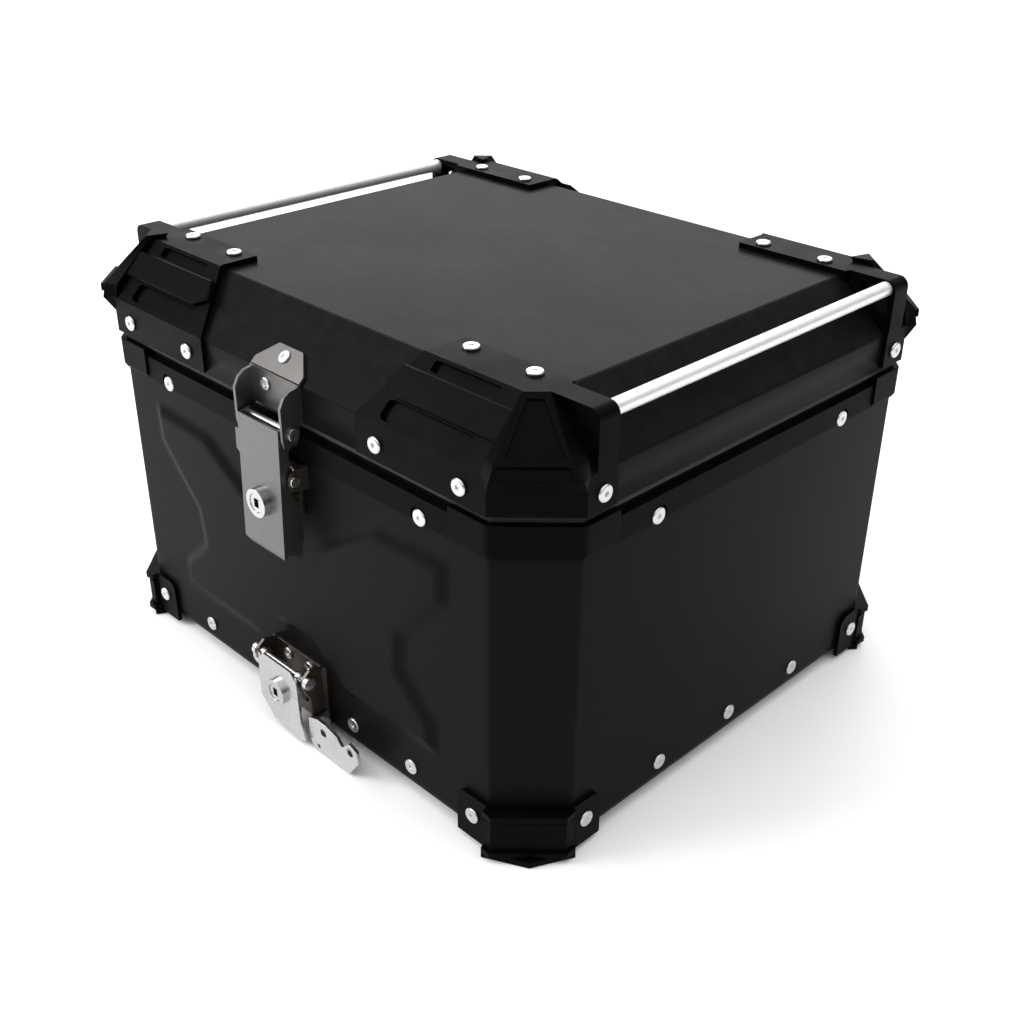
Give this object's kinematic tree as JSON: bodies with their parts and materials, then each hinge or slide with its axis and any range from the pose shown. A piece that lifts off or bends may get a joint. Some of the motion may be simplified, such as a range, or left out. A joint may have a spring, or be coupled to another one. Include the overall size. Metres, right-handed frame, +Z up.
{
  "type": "top_case",
  "caption": "Hard black motorcycle top case with folding lid, moulded corner guards, two luggage rails, key-locked draw latch and carrier release lock.",
  "frame": {"origin": "centre of the bounding box at the level of the feet", "axes": "+X along the latch face to the right as seen from the front, +Y from the latch face to the hinges, +Z up"},
  "size_m": [0.464, 0.426, 0.305],
  "materials": {
    "sheet_black": "fine textured satin powder coat",
    "moulded_black": "fine grained matt moulding",
    "rim_black": "satin black",
    "rivet_steel": "bright machined",
    "seal_rubber": "matt",
    "rail_aluminium": "satin anodised tube",
    "lock_chrome": "polished with fine wear",
    "zinc_cam": "zinc plated",
    "dock_steel": "satin pressed sheet",
    "bronze_plate": "dark passivated sheet",
    "hinge_steel": "satin",
    "latch_steel": "satin stainless sheet"
  },
  "bodies": {
    "case": {"tub_wall": "sheet_black", "floor_pan": "sheet_black", "rim_seal": "seal_rubber", "rim_bar_front": "rim_black", "rim_bar_rear": "rim_black", "rim_bar_left": "rim_black", "rim_bar_right": "rim_black", "rim_corner_front_right": "moulded_black", "rim_corner_front_left": "moulded_black", "rim_corner_rear_right": "moulded_black", "rim_corner_rear_left": "moulded_black", "foot_front_right": "moulded_black", "foot_front_left": "moulded_black", "foot_rear_right": "moulded_black", "foot_rear_left": "moulded_black", "bottom_rivets": "rivet_steel", "foot_rivets": "rivet_steel", "rim_rivets": "rivet_steel", "catch_screws": "rivet_steel", "dock_screws": "rivet_steel", "hinge_case_rivets": "rivet_steel", "hinge_leaf_case": "hinge_steel", "hinge_pins": "rivet_steel", "catch_bracket": "bronze_plate", "ear_studs": "rivet_steel", "dock_bracket": "bronze_plate", "dock_tie_plate": "dock_steel", "dock_pin": "rivet_steel"},
    "lid": {"lid_shell": "sheet_black", "lid_guard_front_right": "moulded_black", "lid_guard_front_left": "moulded_black", "lid_guard_rear_right": "moulded_black", "lid_guard_rear_left": "moulded_black", "rail_right": "rail_aluminium", "rail_left": "rail_aluminium", "guard_lip_screws": "rivet_steel", "guard_top_screws": "rivet_steel", "hasp_screws": "rivet_steel", "hinge_lid_rivets": "rivet_steel", "hinge_leaf_lid": "hinge_steel", "hasp_bracket": "latch_steel", "lever_pin": "rivet_steel"},
    "latch": {"latch_lever": "latch_steel", "latch_barrel": "lock_chrome"},
    "latch_key": {"latch_core": "lock_chrome", "latch_cam": "zinc_cam"},
    "dock": {"dock_lever": "dock_steel", "dock_barrel": "lock_chrome"},
    "dock_key": {"dock_core": "lock_chrome", "dock_cam": "zinc_cam"}
  },
  "joints": [
    {"name": "lid_hinge", "type": "hinge", "parent": "case", "child": "lid", "pos_m": [0, 0.2096, 0.238], "axis": [-1, 0, 0], "range_deg": [0, 95]},
    {"name": "latch_pivot", "type": "hinge", "parent": "lid", "child": "latch", "pos_m": [0, -0.197, 0.235], "axis": [-1, 0, 0], "range_deg": [0, 90]},
    {"name": "latch_key_turn", "type": "hinge", "parent": "latch", "child": "latch_key", "pos_m": [0, -0.205, 0.183], "axis": [0, -1, 0], "range_deg": [0, 90]},
    {"name": "dock_pivot", "type": "hinge", "parent": "case", "child": "dock", "pos_m": [0, -0.204, 0.052], "axis": [-1, 0, 0], "range_deg": [0, 60]},
    {"name": "dock_key_turn", "type": "hinge", "parent": "dock", "child": "dock_key", "pos_m": [0, -0.205, 0.0334], "axis": [0, -1, 0], "range_deg": [0, 90]}
  ]
}
